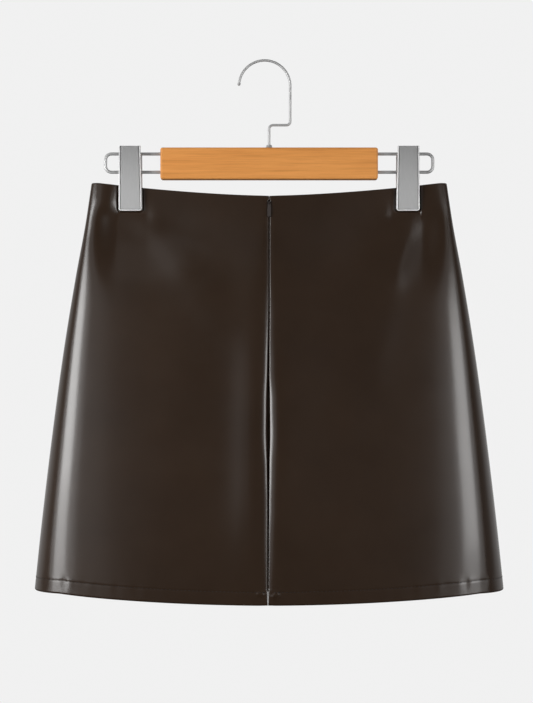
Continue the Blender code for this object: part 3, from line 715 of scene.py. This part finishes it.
def make_panels(materials):
    shares = face_shares(BACK)
    allowance = EDGE_STEPS + LIP_STEPS + 1 + NEAR_SEAM_XS.index(SEAM_ALLOWANCE)
    panels = []
    for name, mirror in (("leather_back_left", -1), ("leather_back_right", 1)):
        rows = [back_row(drop, mirror, shares) for drop in row_drops()]
        panels.append(make_panel(name, BACK, rows, materials, allowance))
    shares = face_shares(FRONT)
    rows = [front_row(drop, shares) for drop in row_drops()]
    panels.append(make_panel("leather_front", FRONT, rows, materials, 0))
    return panels


# ---- hem stitching
def add_stitch(lofts, side, share, half_width):
    """One stitch: a short thread that dives into the leather at both ends."""
    path, radii = [], []
    for i in range(STITCH_STEPS + 1):
        t = i / STITCH_STEPS
        here = share + (t - 0.5) * STITCH_LENGTH / half_width
        arch = math.sin(math.pi * t)
        normal = surface_normal(side, here, STITCH_DROP)
        proud = STITCH_RADIUS * (STITCH_RISE * arch - STITCH_SUNK)
        path.append(surface_point(side, here, STITCH_DROP) + normal * proud)
        radii.append(STITCH_RADIUS * (STITCH_END_SIZE + (1 - STITCH_END_SIZE) * arch))
    lofts.tube(path, radii, STITCH_SIDES)


def stitch_shares(side, half_width, first_x):
    """Places of the stitches from the seam to the side, an even distance apart."""
    shares = []
    share = first_x / half_width
    while share < STITCH_LAST_SHARE:
        shares.append(share)
        here = surface_point(side, share, STITCH_DROP)
        step = 0.0002
        there = surface_point(side, share + step, STITCH_DROP)
        share += STITCH_PITCH / max((there - here).length / step, half_width)
    return shares


def make_stitching(thread):
    half_width = section_at(STITCH_DROP)["half_width"]
    made = []
    for name, side, mirrors, first_x in (
        ("hem_stitches_back_left", BACK, (-1,), STITCH_START_X),
        ("hem_stitches_back_right", BACK, (1,), STITCH_START_X),
        ("hem_stitches_front", FRONT, (-1, 1), STITCH_PITCH / 2),
    ):
        lofts = Lofts()
        for mirror in mirrors:
            for share in stitch_shares(side, half_width, first_x):
                add_stitch(lofts, side, mirror * share, half_width)
        made.append(place_piece(lofts.to_object(name, thread)))
    return made


# ---- the zip
def inside_of_back(x, drop):
    """Depth of the back panel's inner surface beside the seam."""
    half_width = section_at(drop)["half_width"]
    depth = face_points(BACK, x / half_width, drop)[0][1]
    return depth - max(welt_at(x, TURNED_WALL), seam_at(drop)["roll_depth"] + 2 * GAP)


def zip_point(x, drop, inward):
    """A point a distance inside the back panels, beside the seam."""
    share = abs(x) / section_at(drop)["half_width"]
    depth = inside_of_back(x, drop) - GAP - inward
    return Vector((x + seam_sway(x, drop), BACK * depth, height_at(share, drop)))


def make_tape(name, mirror, weave):
    """A woven tape as a thin sheet on the inside of its panel."""
    start, end = TAPE_DROPS
    rows = round((end - start) / TAPE_ROW_STEP)
    columns = len(TAPE_XS)
    points, faces = [], []
    for row in range(rows + 1):
        drop = start + (end - start) * row / rows
        points += [zip_point(mirror * x, drop, 0) for x in TAPE_XS]
    for row in range(rows):
        for i in range(columns - 1):
            corner = row * columns + i
            face = (corner, corner + columns, corner + columns + 1, corner + 1)
            faces.append(face[::mirror])
    tape = new_mesh_object(name, points, faces, [weave])
    thicken(tape, TAPE_THICKNESS)
    place_piece(tape, (name.replace("weave", "zip"),))


def make_coil(plastic):
    """The closed coil: one short bar across the seam for each pair of teeth."""
    lofts = Lofts()
    start, end = COIL_DROPS
    count = int((end - start) / TOOTH_PITCH)
    for i in range(count):
        drop = start + TOOTH_PITCH * (i + 0.5)
        path = []
        for place, bow, _ in TOOTH:
            inward = COIL_THICKNESS / 2 + bow * TOOTH_RADIUS
            x = place * (COIL_HALF_WIDTH - TOOTH_RADIUS / 2)
            path.append(zip_point(x, drop, inward))
        radii = [TOOTH_RADIUS * size for _, _, size in TOOTH]
        lofts.tube(path, radii, TOOTH_SIDES)
    place_piece(lofts.to_object("coil_teeth", plastic), ("zip_coil",))


# ---- the hanger's metal
def arc(centre, radius, start, end, steps):
    """Points (x, z) along an arc; angles in degrees, 0 along +X and 90 up."""
    points = []
    for i in range(steps + 1):
        angle = math.radians(start + (end - start) * i / steps)
        x = centre[0] + radius * math.cos(angle)
        points.append((x, centre[1] + radius * math.sin(angle)))
    return points


def upright(run):
    """Points (x, z) of a run, in the hanger's middle plane."""
    return [Vector((x, 0, z)) for x, z in run]


def make_wire_loops(steel):
    """A U of wire at each end of the bar, which a clip slides on."""
    start = BAR_SIZE[0] / 2 - WIRE_SEAT
    corner_x = WIRE_END_X - WIRE_CORNER
    run = [(start, WIRE_TOP_Z)]
    top, low = WIRE_TOP_Z - WIRE_CORNER, WIRE_LOW_Z + WIRE_CORNER
    run += arc((corner_x, top), WIRE_CORNER, 90, 0, LOOP_CORNER_STEPS)
    run += arc((corner_x, low), WIRE_CORNER, 0, -90, LOOP_CORNER_STEPS)
    run += [(start, WIRE_LOW_Z)]
    for where, side in (("left", -1), ("right", 1)):
        lofts = Lofts()
        path = upright([(side * x, z) for x, z in run])
        lofts.tube(path, [WIRE_RADIUS] * len(path), WIRE_SIDES, Vector((0, 1, 0)))
        loop = lofts.to_object(f"steel_wire_{where}", steel)
        place_piece(loop, (f"hanger_wire_{where}",))


def make_hook(steel):
    """Hook of round wire: a shank up from the bar, a jog aside, the round, a small ball."""
    rise = math.sqrt((HOOK_BEND - HOOK_RADIUS) ** 2 - HOOK_CENTRE_X**2)
    centre = (HOOK_CENTRE_X, -rise)
    far_x = HOOK_CENTRE_X + HOOK_BEND
    corner = HOOK_SHANK_CORNER
    bend_z = HOOK_SHANK_BEND_Z
    run = [(0.0, BAR_Z + BAR_SIZE[2] / 2 - WIRE_SEAT)]
    run += arc((corner, bend_z - corner), corner, 180, 90, SHANK_CORNER_STEPS)
    run += arc((far_x - corner, bend_z + corner), corner, -90, 0, SHANK_CORNER_STEPS)
    run += arc(centre, HOOK_BEND, 0, HOOK_TIP_DEGREES, HOOK_STEPS)
    path = upright(run)
    radii = [HOOK_RADIUS] * len(path)
    ahead = (path[-1] - path[-2]).normalized()
    ball = TIP_BALL * HOOK_RADIUS
    middle = path[-1] + ahead * ball
    for turn in TIP_BALL_DEGREES:
        path.append(middle + ahead * ball * math.sin(math.radians(turn)))
        radii.append(ball * math.cos(math.radians(turn)))
    lofts = Lofts()
    lofts.tube(path, radii, WIRE_SIDES, Vector((0, 1, 0)))
    place_piece(lofts.to_object("steel_hook", steel), ("hanger_hook",))


def thicken(obj, thickness):
    """Gives a sheet its thickness, on the side that its faces turn their backs to."""
    solidify = obj.modifiers.new("Thickness", "SOLIDIFY")
    solidify.thickness = thickness
    solidify.offset = -1


def jaw_ring(inset, depth, length, side):
    """Points round a jaw's sides and lower end, an inset in from its outline."""
    low_half = CLIP_LOW_HALF_WIDTH - inset
    corner = max(CLIP_CORNER - inset, JAW_LEAST_CORNER)
    half = [(CLIP_TOP_HALF_WIDTH - inset, length)]
    half += arc((low_half - corner, inset + corner), corner, 0, -90, JAW_CORNER_STEPS)
    run = half + [(-x, z) for x, z in reversed(half)]
    return [Vector((x, side * (CLIP_TRAY_DEPTH / 2 - depth), z)) for x, z in run]


def make_jaw(where, x, side, length, materials):
    """A pressed tray of sheet steel, open at the top, with a rolled rim."""
    rings = [jaw_ring(inset, depth, length, side) for inset, depth in JAW_RIM]
    count = len(rings[0])
    points = [point for ring in rings for point in ring]
    faces, face_materials = [], []
    for row in range(len(rings) - 1):
        for i in range(row * count, (row + 1) * count - 1):
            faces.append((i, i + 1, i + count + 1, i + count))
            # The rim strips take the second material, a near-white copy of the steel: a
            # painted highlight.
            face_materials.append(1 if row < JAW_HIGHLIGHT_ROWS else 0)
    first = (len(rings) - 1) * count
    for i in range(count // 2 - 1):
        near, far = first + i, first + count - 1 - i
        faces.append((near, near + 1, far - 1, far))
        face_materials.append(0)
    if side < 0:
        faces = [face[::-1] for face in faces]
    grip_y = side * (CLIP_GRIP_HALF_GAP + CLIP_TRAY_DEPTH / 2)
    tilt = Matrix.Rotation(math.radians(-side * CLIP_TILT_DEGREES), 4, "X")
    place = Matrix.Translation((x, grip_y, CLIP_LOW_Z)) @ tilt
    points = [place @ point for point in points]
    jaw = new_mesh_object(f"steel_clip_{where}", points, faces, materials, face_materials)
    thicken(jaw, CLIP_SHEET)
    place_piece(jaw, (f"clip_{where}",))


def make_jaws(materials):
    length = CLIP_TOP_Z - CLIP_LOW_Z
    for where, x in (("left", -CLIP_X), ("right", CLIP_X)):
        make_jaw(f"{where}_jaw_near", x, BACK, length, materials)
        make_jaw(f"{where}_jaw_far", x, FRONT, length - BACK_JAW_SHORTER, materials)


# ---- materials
# Colour stops: (place, linear colour).
LEATHER_TONES = (
    (0.25, (0.0262, 0.0152, 0.0092)),
    (0.75, (0.0339, 0.0201, 0.0124)),
)
WOOD_TONES = (
    (0.25, (0.66, 0.255, 0.060)),
    (0.5, (0.77, 0.32, 0.080)),
    (0.8, (0.86, 0.375, 0.105)),
)
WOOD_FIBRES = ((0.30, (0.62, 0.52, 0.44)), (0.55, (1, 1, 1)))


def new_material(name):
    material = bpy.data.materials.new(name)
    material.use_nodes = True
    return material, material.node_tree, material.node_tree.nodes["Principled BSDF"]


def set_inputs(node, values):
    """Constants on a node's own sockets, by the sockets' names."""
    for name, value in values.items():
        node.inputs[name].default_value = value


def add_node(tree, kind, inputs=None, **settings):
    node = tree.nodes.new(kind)
    for key, value in settings.items():
        setattr(node, key, value)
    set_inputs(node, inputs or {})
    return node


def object_coordinates(tree, scale=(1, 1, 1)):
    """Object coordinates in metres, stretched by scale."""
    coordinates = add_node(tree, "ShaderNodeTexCoord")
    mapping = add_node(tree, "ShaderNodeMapping", {"Scale": scale})
    tree.links.new(coordinates.outputs["Object"], mapping.inputs["Vector"])
    return mapping.outputs["Vector"]


def noise(tree, vector, scale, detail=3.0, roughness=0.5):
    inputs = {"Scale": scale, "Detail": detail, "Roughness": roughness}
    node = add_node(tree, "ShaderNodeTexNoise", inputs)
    tree.links.new(vector, node.inputs["Vector"])
    return node.outputs["Fac"]


def ramp(tree, value, stops):
    """Colours along a value; stops are (place, colour)."""
    node = add_node(tree, "ShaderNodeValToRGB")
    elements = node.color_ramp.elements
    for i, (place, colour) in enumerate(stops):
        element = elements[i] if i < 2 else elements.new(place)
        element.position = place
        element.color = (*colour, 1)
    tree.links.new(value, node.inputs["Fac"])
    return node.outputs["Color"]


def spread(tree, value, low, high, start=0.0):
    """A value between start and 1, mapped to run from low to high."""
    inputs = {"From Min": start, "To Min": low, "To Max": high}
    node = add_node(tree, "ShaderNodeMapRange", inputs)
    tree.links.new(value, node.inputs["Value"])
    return node.outputs["Result"]


def multiply(tree, one, other, factor):
    """One colour times another, as far as the factor says."""
    kind = {"data_type": "RGBA", "blend_type": "MULTIPLY"}
    node = add_node(tree, "ShaderNodeMix", {"Factor": factor}, **kind)
    tree.links.new(one, node.inputs["A"])
    tree.links.new(other, node.inputs["B"])
    return node.outputs["Result"]


def set_colour(tree, shader, value, stops):
    """The shader's colour runs through the stops along a value."""
    tree.links.new(ramp(tree, value, stops), shader.inputs["Base Color"])


def add_bump(tree, shader, height, strength, distance):
    bump = add_node(tree, "ShaderNodeBump", {"Strength": strength, "Distance": distance})
    tree.links.new(height, bump.inputs["Height"])
    tree.links.new(bump.outputs["Normal"], shader.inputs["Normal"])


def leather_material():
    """Dark brown coated leather: a fine pebble, soft tone changes and a satin coat."""
    material, tree, shader = new_material("leather_dark_brown")
    vector = object_coordinates(tree)
    tone = noise(tree, vector, scale=14.0, detail=4.0, roughness=0.55)
    set_colour(tree, shader, tone, LEATHER_TONES)
    patches = noise(tree, vector, scale=45.0, roughness=0.6)
    tree.links.new(spread(tree, patches, 0.19, 0.26), shader.inputs["Roughness"])
    set_inputs(shader, {"Coat Weight": 0.15, "Coat Roughness": 0.12})
    grain = {"Scale": 1250.0, "Smoothness": 0.6}
    pebble = add_node(tree, "ShaderNodeTexVoronoi", grain, feature="SMOOTH_F1")
    tree.links.new(vector, pebble.inputs["Vector"])
    add_bump(tree, shader, pebble.outputs["Distance"], 0.20, 0.00005)
    return material


def backing_material():
    """The leather's reverse: a brushed knit."""
    material, tree, shader = new_material("leather_backing")
    fibres = noise(tree, object_coordinates(tree), scale=900.0, detail=4.0, roughness=0.7)
    stops = ((0.3, (0.020, 0.014, 0.011)), (0.7, (0.040, 0.029, 0.023)))
    set_colour(tree, shader, fibres, stops)
    set_inputs(shader, {"Roughness": 0.92, "Sheen Weight": 0.15})
    add_bump(tree, shader, fibres, 0.5, 0.0002)
    return material


def thread_material():
    material, tree, shader = new_material("thread_dark_brown")
    ply = noise(tree, object_coordinates(tree), scale=2600.0, detail=2.0, roughness=0.6)
    stops = ((0.3, (0.004, 0.003, 0.0025)), (0.7, (0.010, 0.007, 0.006)))
    set_colour(tree, shader, ply, stops)
    shader.inputs["Roughness"].default_value = 0.7
    add_bump(tree, shader, ply, 0.5, 0.0001)
    return material


def wood_material():
    """Varnished wood with fine straight grain along the bar."""
    material, tree, shader = new_material("wood_honey")
    long_grain = object_coordinates(tree, (2.2, 60, 60))
    bands = noise(tree, long_grain, scale=4.0, detail=5.0, roughness=0.6)
    fibres = noise(tree, object_coordinates(tree, (30, 900, 900)), scale=1.0, roughness=0.7)
    tones, streaks = ramp(tree, bands, WOOD_TONES), ramp(tree, fibres, WOOD_FIBRES)
    tree.links.new(multiply(tree, tones, streaks, 0.30), shader.inputs["Base Color"])
    tree.links.new(spread(tree, fibres, 0.50, 0.62), shader.inputs["Roughness"])
    shader.inputs["Specular IOR Level"].default_value = 0.25
    add_bump(tree, shader, fibres, 0.2, 0.00008)
    return material


def metal_material(name, colour, roughness, stretch, metallic):
    """Satin metal. The brushing runs along the axis that has the smallest stretch."""
    material, tree, shader = new_material(name)
    brush = noise(tree, object_coordinates(tree, stretch), scale=1.0, roughness=0.6)
    shade, uneven = 0.93, 0.05
    darker = tuple(shade * c for c in colour)
    set_colour(tree, shader, brush, ((0.3, darker), (0.7, colour)))
    polish = spread(tree, brush, roughness - uneven, roughness + uneven)
    tree.links.new(polish, shader.inputs["Roughness"])
    shader.inputs["Metallic"].default_value = metallic
    return material


def coil_material():
    """Dyed nylon."""
    material, tree, shader = new_material("coil_nylon")
    cloud = noise(tree, object_coordinates(tree), scale=400.0)
    stops = ((0.3, (0.020, 0.014, 0.011)), (0.7, (0.030, 0.022, 0.018)))
    set_colour(tree, shader, cloud, stops)
    shader.inputs["Roughness"].default_value = 0.42
    return material


def weave_material(name, colour):
    """Fine twill tape."""
    material, tree, shader = new_material(name)
    bands = {"Scale": 420.0, "Distortion": 1.5}
    wave = add_node(tree, "ShaderNodeTexWave", bands, bands_direction="DIAGONAL")
    tree.links.new(object_coordinates(tree), wave.inputs["Vector"])
    shade = 0.55
    darker = tuple(shade * c for c in colour)
    set_colour(tree, shader, wave.outputs["Fac"], ((0.2, darker), (0.8, colour)))
    shader.inputs["Roughness"].default_value = 0.85
    add_bump(tree, shader, wave.outputs["Fac"], 0.4, 0.00015)
    return material


# ---- camera and lights
def make_camera():
    data = bpy.data.cameras.new("photo_camera")
    data.sensor_width = SENSOR_MM
    data.lens = SENSOR_MM * CAMERA_DISTANCE / (PHOTO_HEIGHT * PIXEL)
    camera = new_object("photo_camera", data)
    x = (PHOTO_WIDTH / 2 - AXIS_COLUMN) * PIXEL
    z = -(PHOTO_HEIGHT / 2 - ORIGIN_ROW) * PIXEL
    level = Matrix.Rotation(math.radians(90), 4, "X")
    camera.matrix_world = Matrix.Translation((x, -CAMERA_DISTANCE, z)) @ level
    bpy.context.scene.camera = camera


def make_light(name, azimuth, elevation, distance, size, power):
    """A softbox that faces the skirt. Azimuth 0 is the camera's side, positive to its
    right."""
    data = bpy.data.lights.new(name, "AREA")
    data.shape = "RECTANGLE"
    data.size, data.size_y = size
    data.energy = power
    light = new_object(name, data)
    turn, rise = math.radians(azimuth), math.radians(elevation)
    level = math.cos(rise)
    out = Vector((math.sin(turn) * level, -math.cos(turn) * level, math.sin(rise)))
    middle = Vector((0, 0, WAIST_Z - SIDE_LENGTH / 2))
    facing = out.to_track_quat("Z", "Y").to_matrix().to_4x4()
    light.matrix_world = Matrix.Translation(middle + out * distance) @ facing
    light.visible_camera = False


LIGHTS = (
    # name, azimuth, elevation, distance, (width, height), power
    ("left_main", -54, 4.9, 1.25, (0.48, 0.80), 8.8),
    ("left_core", -54, 9.0, 1.20, (0.44, 0.40), 2.3),
    ("left_outer", -70, 4.9, 1.25, (0.22, 0.80), 0.90),
    ("left_inner", -38, 4.9, 1.25, (0.22, 0.80), 0.95),
    ("left_edge", -28.5, 9.0, 1.25, (0.20, 1.00), 0.32),
    ("left_fade", -21, 10.0, 1.25, (0.15, 1.05), 0.29),
    ("left_haze", -16, 12.0, 1.25, (0.08, 1.10), 0.045),
    ("left_raised", -20, 38.0, 1.40, (0.50, 0.35), 0.16),
    ("right_raised", 24, 34.0, 1.40, (0.30, 0.45), 0.16),
    ("right_main", 43, 5.0, 1.45, (0.56, 0.62), 7.1),
    ("right_low", 43, -15.0, 1.45, (0.56, 0.40), 1.6),
    ("right_outer", 60, 3.0, 1.45, (0.30, 0.80), 0.90),
    ("right_fade", 25, 6.0, 1.45, (0.30, 0.90), 0.55),
)


# The room that the surfaces reflect, as (place, grey). By how far a direction points
# behind the skirt: 0 is the camera's side, 0.5 square to it, 1 straight behind. And by its
# height: 0 straight down, 1 straight up.
ROOM_BEHIND = ((0.30, 0.03), (0.50, 0.22), (0.65, 0.66))
ROOM_HEIGHT = ((0.38, 0.12), (0.47, 1.0))


def make_world():
    """A plain pale background, and a dim room that the surfaces reflect."""
    world = bpy.data.worlds.new("plain_studio")
    bpy.context.scene.world = world
    world.use_nodes = True
    tree = world.node_tree
    room = tree.nodes["Background"]
    coordinates = add_node(tree, "ShaderNodeTexCoord")
    axes = add_node(tree, "ShaderNodeSeparateXYZ")
    tree.links.new(coordinates.outputs["Generated"], axes.inputs["Vector"])

    def greys(axis, stops):
        """Greys by how far a direction points along an axis."""
        share = spread(tree, axes.outputs[axis], 0.0, 1.0, -1.0)
        return ramp(tree, share, [(place, (grey,) * 3) for place, grey in stops])

    glow = multiply(tree, greys("Y", ROOM_BEHIND), greys("Z", ROOM_HEIGHT), 1.0)
    tree.links.new(glow, room.inputs["Color"])
    backdrop = add_node(tree, "ShaderNodeBackground", {"Color": BACKDROP_COLOUR})
    path = add_node(tree, "ShaderNodeLightPath")
    mix = add_node(tree, "ShaderNodeMixShader")
    tree.links.new(path.outputs["Is Camera Ray"], mix.inputs["Fac"])
    tree.links.new(room.outputs["Background"], mix.inputs[1])
    tree.links.new(backdrop.outputs["Background"], mix.inputs[2])
    tree.links.new(mix.outputs["Shader"], tree.nodes["World Output"].inputs["Surface"])


def make_floor():
    """A plain pale floor, well below the hanging skirt."""
    half, z = 3.0, -1.5
    corners = [(-half, -half, z), (half, -half, z), (half, half, z), (-half, half, z)]
    material, _, shader = new_material("pale_floor")
    set_inputs(shader, {"Base Color": (0, 0, 0, 1), "Specular IOR Level": 0.0})
    set_inputs(shader, {"Emission Color": BACKDROP_COLOUR, "Emission Strength": 1.0})
    floor = new_mesh_object("floor", corners, [(0, 1, 2, 3)], [material])
    floor.visible_diffuse = False
    floor.visible_glossy = False


def finish_cad_nodes(frame, wood, steel, clip):
    """Finishes for the CAD nodes whose own shape shows."""
    dark = metal_material("zip_dark_metal", (0.10, 0.085, 0.08), 0.35, (800, 800, 800), 0.6)
    finishes = {"hanger_bar": wood, "zip_slider": dark, "zip_pull_tab": dark}
    finishes["hook_collar"] = steel
    for where in ("left", "right"):
        finishes[f"clip_{where}_core"] = clip
    for name, material in finishes.items():
        node = frame["nodes"][name]
        node.data.materials.clear()
        node.data.materials.append(material)


def main():
    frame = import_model()
    bpy.context.scene.view_settings.view_transform = "Standard"
    make_camera()
    make_world()
    make_floor()
    for row in LIGHTS:
        make_light(*row)
    steel = metal_material("steel_wire", (0.56, 0.56, 0.56), 0.50, (300, 300, 300), 0.55)
    clip = metal_material("clip_satin", (0.46, 0.46, 0.46), 0.70, (1400, 1400, 16), 0.08)
    # A near-white copy of the clip's steel for the jaws' rolled rims: a painted highlight.
    edge = metal_material("clip_edge", (0.98, 0.98, 0.98), 0.45, (300, 300, 300), 0.10)
    finish_cad_nodes(frame, wood_material(), steel, clip)
    make_wire_loops(steel)
    make_hook(steel)
    make_jaws([clip, edge])
    weave = weave_material("zip_tape_weave", (0.022, 0.016, 0.013))
    make_tape("weave_tape_left", -1, weave)
    make_tape("weave_tape_right", 1, weave)
    make_coil(coil_material())
    panels = make_panels([leather_material(), backing_material()])
    declare_sheets(panels, make_stitching(thread_material()))


main()
